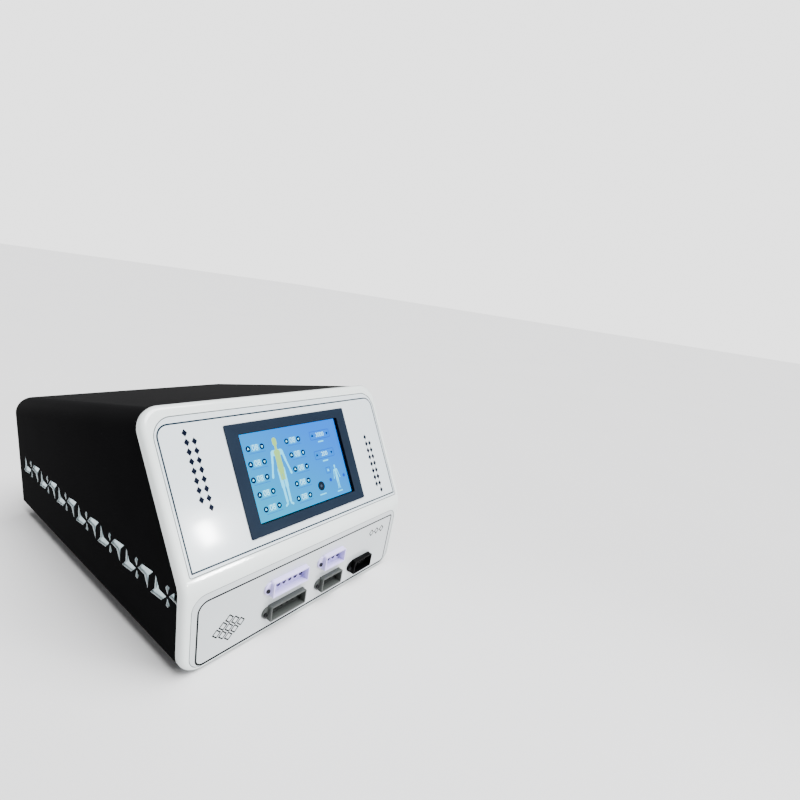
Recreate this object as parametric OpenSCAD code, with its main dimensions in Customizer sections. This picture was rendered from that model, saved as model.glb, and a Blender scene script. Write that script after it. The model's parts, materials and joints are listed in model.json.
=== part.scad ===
// Compression therapy pump: a table console with a two-plane moulded fascia, five multi-port
// air sockets, a wrapped sheet-metal cover with punched side vents, and an air pump inside.
// Millimetres, +Z up. The origin is on the table, under the middle of the console.
// Inside the modules y = 0 is the fascia's lower face and y grows towards the rear.

/* [Case] */
// Width over the fascia
case_w = 400; // [370:1:430]
// Depth from the fascia's lower face to the cover's rear edge
case_depth = 466; // [445:1:515]
// Height of the cover's lower edge above the table
cover_clear = 23; // [18:1:30]
// Height of the cover at its rear edge
rear_h = 196; // [185:1:215]
// Sheet thickness of cover, tray and rear panel
sheet_t = 1.5; // [1:0.1:2]
// Corner radius of the cover's two top bends
cover_r = 24; // [18:1:34]
// Step from the fascia's edge down to the cover's surface
cover_step = 0.6; // [0.3:0.1:1.5]
// Width of the flange turned in under each side of the cover
cover_flange = 14; // [12:1:18]
// How far the rear panel sits inside the cover's rear edge
rear_recess = 6; // [6:0.5:10]
// Height of the tray's side walls
tray_wall_h = 30; // [20:1:36]

/* [Fascia] */
// Height of the bend between the two faces
kink_h = 117; // [112:1:126]
// Lean of the upper face back from upright
face_lean = 30; // [26:0.5:34]
// Length of the upper face from the bend to its top edge
face_len = 193.5; // [188:0.5:200]
// Gap between the fascia's lower edge and the table
fascia_clear = 2; // [1:0.5:5]
// Depth of the fascia's rim
fascia_depth = 9.5; // [8.5:0.5:11]
// Wall of the moulding
wall_t = 3; // [2.5:0.1:3.5]
// Radius of the rounded front edge of the rim
rim_r = 7; // [5:0.5:8]
// Outer radius of the bend between the faces
bend_r = 36; // [28:1:45]
// Radius of the two upper corners
top_corner_r = 27; // [22:1:36]
// Radius of the two lower corners
low_corner_r = 30; // [20:1:36]

/* [Overlay films] */
// Depth of the recesses that take the printed films
film_recess = 0.8; // [0.6:0.1:1.2]
// Thickness of the films
film_t = 0.5; // [0.2:0.1:0.5]
// Rim left around the films
film_margin = 11; // [9.5:0.5:13]
// Corner radius of the films' rounded corners
film_r = 24; // [12:1:28]

/* [Screen] */
// Width of the visible screen
screen_w = 178; // [166:1:186]
// Height of the visible screen
screen_h = 110; // [104:1:114]
// Width of the screen's surround on its left and right
bezel_w = 18; // [14:0.5:20]
// Width of the surround above and below
bezel_h = 13; // [10:0.5:14]
// Offset of the screen to the right of the middle
screen_x = 4; // [-6:0.5:8]
// Middle of the screen up the upper face
screen_s = 93; // [91:0.5:96]
// How far the surround stands proud of the film
bezel_proud = 1.4; // [0.8:0.1:2]
// Depth of the glass behind the film
glass_depth = 4.4; // [3.8:0.1:6]
// Thickness of the touch glass
glass_t = 1.8; // [1:0.1:2.5]
// Thickness of the display panel
lcd_t = 6; // [4:0.5:9]

/* [Air sockets] */
// Spacing of the air ports in a socket
port_pitch = 10; // [9.6:0.1:10.4]
// Width of a port
port_w = 4.6; // [4:0.1:5]
// Height of a port
port_h = 9; // [7:0.1:9.6]
// Height of a socket
socket_h = 21.8; // [20.5:0.1:23]
// Wall of the sockets
socket_wall = 2; // [1.6:0.1:2.2]
// How far the sockets stand out of the fascia
socket_out = 7; // [5:0.5:9]
// Depth of the hollow that takes the plug
socket_deep = 9.5; // [8:0.5:11]
// Height of the lower row of sockets
row_low = 33; // [31:0.5:36]
// Distance between the two rows
row_gap = 35.6; // [32:0.1:37]
// Left edge of the long sockets' shroud
long_x = -77.5; // [-82:0.5:-74]
// Left edge of the first short sockets' shroud
short_x = 18; // [14:0.5:22]
// Left edge of the last socket's shroud
last_x = 90; // [84:0.5:96]

/* [Side vents] */
// Spacing of the punched motifs
vent_pitch = 64.4; // [60:0.2:68]
// Distance of the first motif from the front
vent_first = 28.5; // [24:0.5:33]
// Height of the row of motifs
vent_z = 97; // [90:0.5:110]
// Scale of a motif
vent_size = 1.05; // [0.85:0.05:1.1]
// Gap between cover and dust screen
screen_gap = 0.5; // [0.3:0.1:1]

/* [Fan] */
// Side of the square fan frame
fan_side = 80; // [70:1:84]
// Depth of the fan
fan_deep = 25; // [22:1:28]
// Place of the fan, right of the middle as seen from the front
fan_x = -112; // [-118:1:-100]
// Height of the fan's axis
fan_z = 104; // [95:1:112]
// Number of fan blades
fan_blades = 7; // [5:1:9]

/* [Pump] */
// Stroke of the pump's armature to each side
pump_stroke = 1.5; // [1:0.1:2]
// Length of the pump along its shaft
pump_len = 190; // [180:1:200]
// Diameter of the pump's end heads
head_d = 86; // [80:1:90]

/* [Hidden] */
$fn = 64;
eps = 0.01;
half_w = case_w / 2;
bend_tan = round(100 * bend_r * tan(face_lean / 2)) / 100;
bend_z = kink_h - bend_tan;
fit_gap = 0.4;
run_gap = 0.05;
low_edge_z = fascia_clear;
weld = 0.04;
cover_half = half_w - cover_step;
// upper rear edge of the fascia's rim, where the cover starts
cover_top_y = fascia_depth * cos(face_lean) + face_len * sin(face_lean);
cover_top_z = kink_h - fascia_depth * sin(face_lean) + face_len * cos(face_lean) - cover_step;
cover_slope = atan((cover_top_z - rear_h) / (case_depth - cover_top_y));
tube_reach = 60;
floor_z = cover_clear + sheet_t;
tray_top = floor_z + sheet_t;
tray_half = cover_half - sheet_t - fit_gap;
rear_face = case_depth - rear_recess;
rear_inner = rear_face - sheet_t;
front_most = -socket_out;
mid_y = (front_most + case_depth) / 2;
film_face = film_recess - film_t;
// films: lower edge, height and half width of each
low_film_z = low_edge_z + film_margin - 5;
low_film_r = 18;
low_film_h = kink_h - bend_tan - 3 - low_film_z;
high_film_s = bend_tan + 1;
high_film_h = face_len - film_margin - 3 - high_film_s;
film_half = half_w - film_margin;
row_high = row_low + row_gap;
long_ports = 6;
short_ports = 4;
hollow_h = socket_h - 2 * socket_wall;
insert_front = socket_deep - socket_out;
sleeve_back = insert_front + 11;
insert_back = sleeve_back + 2;
tray_front = insert_back + 1;
ear_r = 8.5;
ear_reach = 9.4;
ear_screw = 4.9;
seal_lip = 1;
seal_t = 1;
nozzle_len = 9;
screw_d = 3;
// each socket: left edge, row height, ports
sockets = [[long_x, row_high, long_ports], [long_x, row_low, long_ports],
           [short_x, row_high, short_ports], [short_x, row_low, short_ports],
           [last_x, row_low, short_ports]];
foot_d = 30;
foot_inset = 52;
foot_y = [62, case_depth - 58];
fan_bore = fan_side - 4;
fan_hole_pitch = fan_side - 8.5;
hub_d = 34;
fan_shaft_d = 3;
blade_t = 1.6;
blade_chord = 19;
blade_bow = 2.6;
guard_eye_t = 1.8;
vent_count = floor((case_depth - vent_first) / vent_pitch) + 1;
vent_half = 14 * vent_size;
inlet_x = 128;
inlet_z = 66;
inlet_flange = [50, 2.5, 36];
inlet_body = [28, 22, 32];
inlet_hole_pitch = 40;
inlet_mouth = 24.4;
switch_x = 72;
switch_z = 66;
switch_w = 22;
switch_h = 30;
switch_lip = 1.4;
rocker_tilt = 9;
rocker_pin_d = 3;
drawer_w = 22;
drawer_h = 8;
drawer_low = 14.2;
fuse_d = 5;
fuse_len = 20;
// plate thickness of the inner brackets
plate_t = 3;
pump_x = pump_len / 2 + 17.5 - tray_half;
pump_y = case_depth - 165;
pump_base_w = 90;
pump_base_z = tray_top + 14;
pump_axis_z = pump_base_z + plate_t + head_d / 2 + 2;
head_len = 27;
core_w = 64;
core_h = 40;
core_back = 40;
core_leg = 8;
coil_w = 44;
outlet_d = 9;
hose_d = 13;
disk_x = tray_half - 92.5;
disk_y = pump_y - 95;
disk_d = 80;
disk_z = tray_top + 46;
disk_h = 34;
pot_wall = 7;
pot_floor = 4;
spindle_d = 8;
motor_d = 60;
stand_w = 100;
barb_d = 6;
supply_size = [120, 85, 38];
supply_pos = [tray_half - 7.5 - supply_size[0], foot_y[1] - 8 - supply_size[1], tray_top];
board_size = [110, 90, 1.6];
board_pos = [12.5 - tray_half, pump_y - pump_base_w / 2 - 50 - board_size[1], tray_top + 8];
board_inset = 6;

// ---- shared shapes ----

// Puts a piece drawn from the fascia's lower face into the console's own frame.
module place() { translate([0, -mid_y, 0]) children(); }

// The upper face's own frame: x across, y into the case, z up the slope from the bend.
module on_upper() { translate([0, 0, kink_h]) rotate([-face_lean, 0, 0]) children(); }

// Extrudes an outline drawn in x and z, from depth y0, t deep.
module upright(y0, t) { translate([0, y0 + t, 0]) rotate([90, 0, 0]) linear_extrude(t) children(); }

// Extrudes a side outline drawn in y and z over the width from x0.
module across(x0, w) { translate([x0, 0, 0]) rotate([90, 0, 90]) linear_extrude(w) children(); }

// Rectangle standing on the x axis with its own radius at the lower and upper corners.
module panel2d(w, h, r_low, r_top) {
    for (side = [-1, 1]) {
        translate([side * (w / 2 - r_low), r_low]) circle(r_low);
        translate([side * (w / 2 - r_top), h - r_top]) circle(r_top);
    }
    translate([-w / 2, r_low]) square([w, h - r_low - r_top]);
    translate([r_low - w / 2, 0]) square([w - 2 * r_low, h - r_top]);
    translate([r_top - w / 2, r_low]) square([w - 2 * r_top, h - r_low]);
}

// Upright slot with round ends, centred.
module slot2d(w, h) {
    translate([-w / 2, w / 2 - h / 2]) square([w, h - w]);
    for (side = [-1, 1]) translate([0, side * (h - w) / 2]) circle(w / 2);
}

// Cylinder along y from depth y0.
module rod_y(d, y0, len) { translate([0, y0, 0]) rotate([-90, 0, 0]) cylinder(d = d, h = len); }

// ---- fascia ----

// Section of a plate edge with a rounded front corner: reach across, deep from front to back.
module rounded_edge(reach, r, deep) {
    square([reach - r, deep]);
    translate([0, r]) square([reach, deep - r]);
    intersection() {
        translate([reach - r, r]) circle(r);
        translate([reach - r, 0]) square(r);
    }
}

// Section of the moulding from its inner field out over the rim. A skin thins it from all sides.
module rim_section(reach, skin = 0) {
    difference() {
        translate([0, skin]) rounded_edge(reach - skin, rim_r - skin, fascia_depth - 2 * skin);
        translate([-1, wall_t - skin])
            rounded_edge(reach - wall_t + skin + 1, rim_r - wall_t + skin, fascia_depth);
    }
}

// The same section over the whole width.
module channel_section(skin = 0) {
    rim_section(half_w, skin);
    mirror([1, 0]) rim_section(half_w, skin);
}

// Closing edge of the moulding below z = r: a straight run between two swept corners.
module edge_cap(r) {
    for (side = [0, 1]) mirror([side, 0, 0])
        translate([half_w - r, 0, r]) rotate([-90, 0, 0])
            rotate_extrude(angle = 90) rim_section(r);
    translate([r - half_w, 0, r]) rotate([0, 90, 0])
        linear_extrude(2 * (half_w - r)) rim_section(r);
}

module fascia_shell() {
    translate([0, 0, low_edge_z]) edge_cap(low_corner_r);
    translate([0, 0, low_edge_z + low_corner_r])
        linear_extrude(bend_z + weld - low_edge_z - low_corner_r) channel_section();
    translate([0, bend_r, bend_z]) rotate([90, 0, -90])
        rotate_extrude(angle = face_lean) bend_section();
    on_upper() {
        translate([0, 0, bend_tan - weld])
            linear_extrude(face_len - top_corner_r - bend_tan + weld) channel_section();
        translate([0, 0, face_len]) mirror([0, 0, 1]) edge_cap(top_corner_r);
    }
}

// The channel section turned to sweep about the bend's axis, thinner by a hair than the straight
// stretches, whose ends take it in.
module bend_section() {
    translate([bend_r, 0]) rotate(90) channel_section(weld);
}

// Space behind the fascia's front surface, a given depth in, seen from the side.
module behind(depth) {
    translate([depth, 0]) square([case_depth, bend_z]);
    translate([bend_r, bend_z]) {
        circle(bend_r - depth);
        rotate(-face_lean) translate([depth - bend_r, 0]) square([case_depth, 2 * face_len]);
    }
}

module upper_film_outline(grow) {
    translate([0, high_film_s - grow])
        panel2d(2 * (film_half + grow), high_film_h + 2 * grow, 3 + grow, film_r + grow);
}

module lower_film_outline(grow) {
    translate([0, low_film_z - grow])
        panel2d(2 * (film_half + grow), low_film_h + 2 * grow, low_film_r + grow,
            low_film_r + grow);
}

// Outline through which the screen's surround passes.
module screen_outline(grow) {
    translate([screen_x, screen_s - screen_h / 2 - grow])
        panel2d(screen_w + 2 * grow, screen_h + 2 * grow, 2, 2);
}

function shroud_len(ports) = ports * port_pitch + 3;

// Outline of a socket's sleeve behind its flange.
module sleeve_outline(s, grow) {
    len = shroud_len(s[2]) - 1;
    translate([s[0] + shroud_len(s[2]) / 2, s[1] - socket_h / 2 + 0.5 - grow])
        panel2d(len + 2 * grow, socket_h - 1 + 2 * grow, 1.5, 1.5);
}

module socket_screw_place(s) { translate([s[0] - ear_screw, 0, s[1] - 0.6]) children(); }

module front_fascia() {
    color([0.91, 0.93, 0.92]) place() difference() {
        fascia_shell();
        upright(-1, film_recess + 1) lower_film_outline(0.2);
        on_upper() {
            upright(-1, film_recess + 1) upper_film_outline(0.2);
            upright(-1, fascia_depth) screen_outline(2 + fit_gap);
        }
        for (s = sockets) {
            upright(-1, fascia_depth) sleeve_outline(s, fit_gap);
            socket_screw_place(s) rod_y(screw_d + 2 * run_gap, -1, fascia_depth);
        }
    }
}

module upper_film() {
    color([0.84, 0.86, 0.89]) place() on_upper() upright(film_face, film_t) difference() {
        upper_film_outline(0);
        screen_outline(2 + fit_gap);
    }
}

module lower_film() {
    color([0.82, 0.84, 0.86]) place() difference() {
        upright(film_face, film_t) difference() {
            lower_film_outline(0);
            for (s = sockets) sleeve_outline(s, fit_gap);
        }
        for (s = sockets) socket_screw_place(s) rod_y(screw_d + 2 * run_gap, -1, 3);
    }
}

module fascia_brackets() {
    color("silver") place() for (x = [-half_w + 50, half_w - 40])
        translate([x, wall_t, tray_top + 5]) cube([22, tray_front - wall_t, 18]);
}

// ---- screen ----

module screen_bezel() {
    color([0.2, 0.25, 0.35]) place() on_upper() {
        upright(film_face - bezel_proud, bezel_proud) difference() {
            translate([screen_x, screen_s - screen_h / 2 - bezel_h])
                panel2d(screen_w + 2 * bezel_w, screen_h + 2 * bezel_h, 2, 2);
            screen_outline(0);
        }
        upright(film_face - eps, glass_depth + eps) difference() {
            screen_outline(2);
            screen_outline(0);
        }
    }
}

module touch_glass() {
    color([0.35, 0.72, 0.98]) place() on_upper()
        upright(film_face + glass_depth, glass_t) screen_outline(5);
}

module lcd_panel() {
    color([0.3, 0.3, 0.32]) place() on_upper()
        upright(film_face + glass_depth + glass_t, lcd_t) screen_outline(4);
}

module display_board() {
    board_y = film_face + glass_depth + glass_t + lcd_t;
    stud = 5;
    color([0.1, 0.4, 0.2]) place() on_upper() difference() {
        union() {
            upright(board_y + stud, board_size[2]) screen_outline(-8);
            display_stud_places() rod_y(6, board_y, stud + eps);
            translate([screen_x - 20, board_y + stud + board_size[2] - eps, screen_s - 12])
                cube([40, 3, 24]);
        }
        display_stud_places() rod_y(2.6, board_y + 2, 2 * stud);
    }
}

module display_stud_places() {
    for (x = [-1, 1], z = [-1, 1])
        translate([screen_x + x * (screen_w / 2 - 18.5), 0, screen_s + z * (screen_h / 2 - 15)]) children();
}

// ---- air sockets ----

// One housing: flange with its screw ear, shroud in front and sleeve behind.
module socket_housing(s) {
    len = shroud_len(s[2]);
    difference() {
        union() {
            upright(film_face - 2, 2) union() {
                translate([s[0] + len / 2 + 0.75, s[1] - socket_h / 2])
                    panel2d(len + 1.5, socket_h, 1.5, 4);
                translate([s[0] + ear_r - ear_reach, s[1] + 0.8]) circle(ear_r);
            }
            upright(-socket_out, socket_out + film_face - 1) translate([s[0] + len / 2, s[1] - socket_h / 2])
                panel2d(len, socket_h, 1, 3);
            upright(film_face - 1, sleeve_back - film_face + 1) sleeve_outline(s, 0);
        }
        translate([s[0] + socket_wall, -socket_out - 1, s[1] - hollow_h / 2])
            cube([len - 2 * socket_wall, sleeve_back + socket_out + 2, hollow_h]);
        socket_screw_place(s) rod_y(screw_d + 2 * run_gap, -socket_out, socket_out + 5);
    }
}

function port_x(s, i) = s[0] + shroud_len(s[2]) / 2 + (i - (s[2] - 1) / 2) * port_pitch;

// One port block with its slotted ports, seal seats, key slot and hose nozzles.
module port_insert(s) {
    len = shroud_len(s[2]) - 2 * socket_wall;
    difference() {
        union() {
            translate([s[0] + socket_wall, insert_front, s[1] - hollow_h / 2])
                cube([len, insert_back - insert_front, hollow_h]);
            for (i = [0 : s[2] - 1])
                translate([port_x(s, i), 0, s[1]]) rod_y(port_w + 2.4, insert_back - 1, nozzle_len + 1);
        }
        for (i = [0 : s[2] - 1]) translate([port_x(s, i), 0, s[1]]) {
            upright(insert_front - 1, 9) slot2d(port_w, port_h);
            upright(insert_front - 1, 1 + seal_t) slot2d(port_w + 2 * seal_lip, port_h + 2 * seal_lip);
            rod_y(port_w - 0.6, insert_front, 40);
        }
        translate([port_x(s, 1) + port_pitch / 2 - 0.6, insert_front - 1, s[1] - hollow_h / 2 + 1.6])
            cube([1.2, 3, 5]);
    }
}

module long_socket_top() { color([0.83, 0.82, 0.95]) place() socket_housing(sockets[0]); }
module long_socket_low() { color([0.43, 0.46, 0.45]) place() socket_housing(sockets[1]); }
module short_socket_top() { color([0.83, 0.82, 0.95]) place() socket_housing(sockets[2]); }
module short_socket_low() { color([0.43, 0.46, 0.45]) place() socket_housing(sockets[3]); }
module last_socket() { color([0.05, 0.05, 0.06]) place() socket_housing(sockets[4]); }
module long_insert_top() { color([0.76, 0.74, 0.92]) place() port_insert(sockets[0]); }
module long_insert_low() { color([0.35, 0.38, 0.37]) place() port_insert(sockets[1]); }
module short_insert_top() { color([0.76, 0.74, 0.92]) place() port_insert(sockets[2]); }
module short_insert_low() { color([0.35, 0.38, 0.37]) place() port_insert(sockets[3]); }
module last_insert() { color([0.07, 0.07, 0.08]) place() port_insert(sockets[4]); }

module port_seals() {
    color([0.12, 0.12, 0.14]) place() for (s = sockets, i = [0 : s[2] - 1])
        translate([port_x(s, i), 0, s[1]]) upright(insert_front, seal_t) difference() {
            slot2d(port_w + 2 * seal_lip, port_h + 2 * seal_lip);
            slot2d(port_w, port_h);
        }
}

// Pan-head screw along y: head in front of depth y0, shank behind it.
module pan_screw(y0, len, d = screw_d) {
    difference() {
        union() {
            rod_y(d * 1.9, y0 - d * 0.6, d * 0.6);
            rod_y(d, y0 - eps, len);
        }
        for (turn = [0, 90]) rotate([0, turn, 0])
            translate([-d * 0.55, y0 - d * 0.6 - 1, -d * 0.1]) cube([d * 1.1, 1 + d * 0.3, d * 0.2]);
    }
}

module socket_screws() {
    color("silver") place() for (s = sockets) socket_screw_place(s) pan_screw(film_face - 2, 9);
}

// ---- case ----

// Long prism with the cover's inverted-U section, its top plane on the cover's slope.
module cover_tube(inset) {
    half = cover_half - inset;
    r = cover_r - inset;
    translate([0, case_depth, rear_h]) rotate([90 - cover_slope, 0, 0])
        translate([0, 0, -tube_reach]) linear_extrude(case_depth + 2 * tube_reach) {
            for (side = [-1, 1]) translate([side * (half - r), -inset - r]) circle(r);
            translate([-half, -2 * face_len]) square([2 * half, 2 * face_len - inset - r]);
            translate([r - half, -2 * face_len]) square([2 * (half - r), 2 * face_len - inset]);
        }
}

// One punched motif: a blade with a tapered tail and a small wedge, and the pair turned half round.
module vent_blade() {
    polygon([[2.5, 1.5], [11.5, 11], [33, 13.5], [24.5, 4.5], [23, -12.5], [16, 0.5]]);
}

module vent_wedge() { polygon([[0, 2.5], [-4.2, 8.6], [-1, 13], [2.6, 12]]); }

// The row of motifs, drawn from the front; the last one keeps clear of the cover's rear edge.
module vent_row() {
    for (i = [0 : vent_count - 1]) translate([-vent_first - i * vent_pitch, 0]) scale(vent_size) {
        vent_blade();
        vent_wedge();
        rotate(180) vent_wedge();
        if (vent_first + i * vent_pitch + 36 * vent_size < rear_face) rotate(180) vent_blade();
    }
}

module case_cover() {
    color([0.04, 0.04, 0.05]) place() difference() {
        union() {
            difference() {
                intersection() {
                    across(-half_w, case_w) intersection() {
                        behind(fascia_depth);
                        translate([0, cover_clear]) square([case_depth, 2 * face_len]);
                    }
                    cover_tube(0);
                }
                cover_tube(sheet_t);
            }
            for (side = [0, 1]) mirror([side, 0, 0])
                translate([cover_half - cover_flange, tray_front, cover_clear])
                    cube([cover_flange - sheet_t / 2, rear_inner - tray_front, sheet_t]);
        }
        translate([-half_w - 1, 0, vent_z]) rotate([90, 0, 90]) linear_extrude(case_w + 2)
            mirror([1, 0]) vent_row();
        cover_screw_places() translate([0, 0, cover_clear - 1]) cylinder(d = screw_d + 0.4, h = 4);
    }
}

module cover_screw_places() {
    for (x = [-1, 1], y = [40, case_depth / 2, case_depth - 40])
        translate([x * (cover_half - cover_flange / 2 - 1), y, 0]) children();
}

module cover_screws() {
    color("silver") place() cover_screw_places()
        translate([0, 0, cover_clear]) rotate([90, 0, 0]) pan_screw(0, 5);
}

// A thin plate behind each row of vents, held against the cover by its rolled edges.
module vent_screens() {
    color([0.75, 0.8, 0.81]) place() for (side = [0, 1]) mirror([side, 0, 0])
        translate([cover_half - sheet_t - screen_gap - 1, tray_front + 3, vent_z - vent_half - 6]) {
            cube([1, rear_inner - tray_front - 8, 2 * vent_half + 12]);
            for (z = [0, 2 * vent_half + 9])
                translate([0, 0, z]) cube([1 + screen_gap, rear_inner - tray_front - 8, 3]);
        }
}

module foot_places() {
    for (x = [-1, 1], y = foot_y) translate([x * (half_w - foot_inset), y, 0]) children();
}

module base_tray() {
    color([0.6, 0.62, 0.64]) place() difference() {
        translate([-tray_half, tray_front, floor_z])
            cube([2 * tray_half, rear_inner - tray_front, tray_wall_h]);
        translate([sheet_t - tray_half, tray_front + sheet_t, tray_top])
            cube([2 * (tray_half - sheet_t), rear_inner - tray_front - 2 * sheet_t, tray_wall_h]);
        translate([long_x - ear_reach - 8, tray_front - 1, tray_top])
            cube([last_x + shroud_len(short_ports) + 5 - long_x + ear_reach + 8, sheet_t + 2, tray_wall_h]);
        cover_screw_places() translate([0, 0, floor_z - 1]) cylinder(d = screw_d, h = 4);
        foot_places() translate([0, 0, floor_z - 1]) cylinder(d = 4.2, h = 4);
        panel_screw_places() rod_y(screw_d, rear_inner - 3, 4);
        translate([switch_x - switch_w / 2, rear_inner - 3, inlet_z - inlet_body[2] / 2 - 1])
            cube([inlet_x + inlet_body[0] / 2 + 1 - switch_x + switch_w / 2, 4, tray_wall_h]);
    }
}

module rubber_feet() {
    color([0.1, 0.1, 0.1]) place() foot_places() difference() {
        union() {
            cylinder(r1 = foot_d / 2 - 2, r2 = foot_d / 2, h = 6);
            translate([0, 0, 6]) cylinder(r = foot_d / 2, h = floor_z - 6);
        }
        translate([0, 0, -1]) cylinder(d = 10, h = floor_z - 5);
        translate([0, 0, 1]) cylinder(d = 4.2, h = floor_z + 4);
    }
}

module foot_screws() {
    color("silver") place() foot_places() translate([0, 0, floor_z - 6]) {
        translate([0, 0, -2.4]) cylinder(d = 7.6, h = 2.4);
        translate([0, 0, -eps]) cylinder(d = 4, h = 13);
    }
}

module foot_nuts() {
    color([0.7, 0.71, 0.72]) place() foot_places() translate([0, 0, tray_top]) difference() {
        cylinder(d = 8, h = 3.2, $fn = 6);
        translate([0, 0, -1]) cylinder(d = 4, h = 6);
    }
}

// ---- rear panel ----

module fan_hole_places() {
    for (x = [-1, 1], z = [-1, 1])
        translate([fan_x + x * fan_hole_pitch / 2, 0, fan_z + z * fan_hole_pitch / 2]) children();
}

module panel_screw_places() {
    for (x = [-1, -1 / 3, 1 / 3, 1])
        translate([x * (tray_half - 14), 0, floor_z + tray_wall_h / 2 + 4]) children();
}

module rear_panel() {
    color([0.06, 0.06, 0.07]) place() difference() {
        intersection() {
            translate([-half_w, rear_inner, floor_z]) cube([case_w, sheet_t, rear_h]);
            cover_tube(sheet_t + fit_gap);
        }
        translate([fan_x, 0, fan_z]) rod_y(fan_bore, rear_inner - 1, sheet_t + 2);
        fan_hole_places() rod_y(4.4, rear_inner - 1, sheet_t + 2);
        panel_screw_places() rod_y(screw_d + 0.3, rear_inner - 1, sheet_t + 2);
        translate([inlet_x - inlet_body[0] / 2 - 0.5, rear_inner - 1, inlet_z - inlet_body[2] / 2 - 0.5])
            cube([inlet_body[0] + 1, sheet_t + 2, inlet_body[2] + 1]);
        inlet_screw_places() rod_y(screw_d + 0.3, rear_inner - 1, sheet_t + 2);
        translate([switch_x, 0, switch_z]) upright(rear_inner - 1, sheet_t + 2)
            square([switch_w - 2 * switch_lip + 0.4, switch_h - 2 * switch_lip + 0.4], center = true);
        for (i = [-7 : 7]) translate([30 + i * 9, 0, rear_h - 46])
            upright(rear_inner - 1, sheet_t + 2) slot2d(4, 34);
    }
}

module panel_screws() {
    color("silver") place() panel_screw_places() mirror([0, 1, 0]) pan_screw(-rear_face, 6);
}

// ---- fan ----

module fan_frame() {
    color([0.09, 0.09, 0.1]) place() translate([fan_x, 0, fan_z]) difference() {
        union() {
            difference() {
                upright(rear_inner - fan_deep, fan_deep) translate([0, -fan_side / 2])
                    panel2d(fan_side, fan_side, 5, 5);
                rod_y(fan_bore, rear_inner - fan_deep - 1, fan_deep + 2);
            }
            rod_y(hub_d + 2, rear_inner - fan_deep, 4);
            for (turn = [45 : 90 : 315]) rotate([0, turn, 0])
                translate([hub_d / 2 - 1, rear_inner - fan_deep, -2])
                    cube([fan_bore / 2 - hub_d / 2 + 2, 3, 4]);
        }
        rod_y(fan_shaft_d + 2 * run_gap, rear_inner - fan_deep - 1, fan_deep);
        for (x = [-1, 1], z = [-1, 1]) translate([x * fan_hole_pitch / 2, 0, z * fan_hole_pitch / 2])
            rod_y(4.4, rear_inner - fan_deep - 1, fan_deep + 2);
    }
}

// Points along a blade's curved section: across the fan at u, bowed by the camber.
function blade_line(side) = [for (i = [-3 : 3]) let (u = i / 3)
    [u * blade_chord / 2, blade_bow * (1 - u * u) + side * blade_t / 2]];

// Hub with pitched, curved blades that stop short of the frame's bore.
module fan_rotor() {
    front = rear_inner - fan_deep + 5;
    deep = fan_deep - 8;
    reach = sqrt(pow(fan_bore / 2 - 1.2, 2) - pow(blade_chord / 2, 2));
    color([0.13, 0.13, 0.14]) place() translate([fan_x, 0, fan_z]) {
        rod_y(hub_d, front, deep);
        rod_y(fan_shaft_d, front - 4.5, 5);
        for (i = [0 : fan_blades - 1]) rotate([0, i * 360 / fan_blades, 0])
            translate([hub_d / 2 - 2, front + deep / 2, 0]) rotate([42, 0, 0]) rotate([90, 0, 90])
                linear_extrude(reach - hub_d / 2 + 2)
                    polygon(concat(blade_line(-1), [for (i = [6 : -1 : 0]) blade_line(1)[i]]));
    }
}

// Finger guard: concentric wires on four spokes, with an eye at each corner.
module fan_guard() {
    wire = 2;
    ring_first = 4.8;
    ring_step = (fan_bore / 2 - 2 - ring_first) / 4;
    ring_y = rear_face + guard_eye_t + 1.4;
    reach = fan_hole_pitch / 2 * sqrt(2);
    spoke_start = ring_first - 0.6;
    color([0.75, 0.76, 0.78]) place() translate([fan_x, 0, fan_z]) {
        for (i = [0 : 4]) translate([0, ring_y, 0]) rotate([90, 0, 0])
            rotate_extrude() translate([ring_first + i * ring_step, 0]) circle(d = wire, $fn = 24);
        for (turn = [45 : 90 : 315]) rotate([0, turn, 0]) translate([0, rear_face + guard_eye_t, 0]) {
            translate([spoke_start, 0, 0]) rotate([0, 90, 0])
                cylinder(d = wire, h = reach - 4.3 - spoke_start, $fn = 24);
            translate([reach, -guard_eye_t, 0]) difference() {
                rod_y(12, 0, guard_eye_t);
                rod_y(4.4, -1, 4);
            }
        }
    }
}

module fan_screws() {
    color("silver") place() fan_hole_places() mirror([0, 1, 0]) pan_screw(-rear_face - guard_eye_t, 10, 4);
}

// ---- mains inlet and switch ----

module inlet_socket_outline() {
    half = inlet_mouth / 2;
    polygon([[-half, -8.2], [half, -8.2], [half, 4], [half - 4.2, 8.2], [4.2 - half, 8.2], [-half, 4]]);
}

module inlet_screw_places() {
    for (x = [-1, 1]) translate([inlet_x + x * inlet_hole_pitch / 2, 0, inlet_z]) children();
}

module mains_inlet() {
    face = rear_face + inlet_flange[1];
    color([0.07, 0.07, 0.08]) place() difference() {
        translate([inlet_x, 0, inlet_z]) difference() {
            union() {
                upright(rear_face, inlet_flange[1]) translate([0, -inlet_flange[2] / 2])
                    panel2d(inlet_flange[0], inlet_flange[2], 4, 4);
                translate([-inlet_body[0] / 2, rear_inner - inlet_body[1], -inlet_body[2] / 2])
                    cube([inlet_body[0], inlet_body[1] + sheet_t + 1, inlet_body[2]]);
            }
            translate([0, 0, 5.2]) upright(face - 16, 17) inlet_socket_outline();
            translate([-drawer_w / 2, face - 20, -drawer_low]) cube([drawer_w, 21, drawer_h]);
        }
        inlet_screw_places() rod_y(screw_d + 0.3, rear_face - 1, 6);
        inlet_pin_blades();
    }
}

module inlet_pin_blades() {
    start = rear_inner - inlet_body[1] - 6;
    for (p = [[-7, 3.2], [7, 3.2], [0, 7.2]]) translate([inlet_x + p[0] - 1, start, inlet_z + p[1] - 2])
        cube([2, rear_face + inlet_flange[1] - 5 - start, 4]);
}

module inlet_pins() { color([0.8, 0.7, 0.4]) place() inlet_pin_blades(); }

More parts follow.
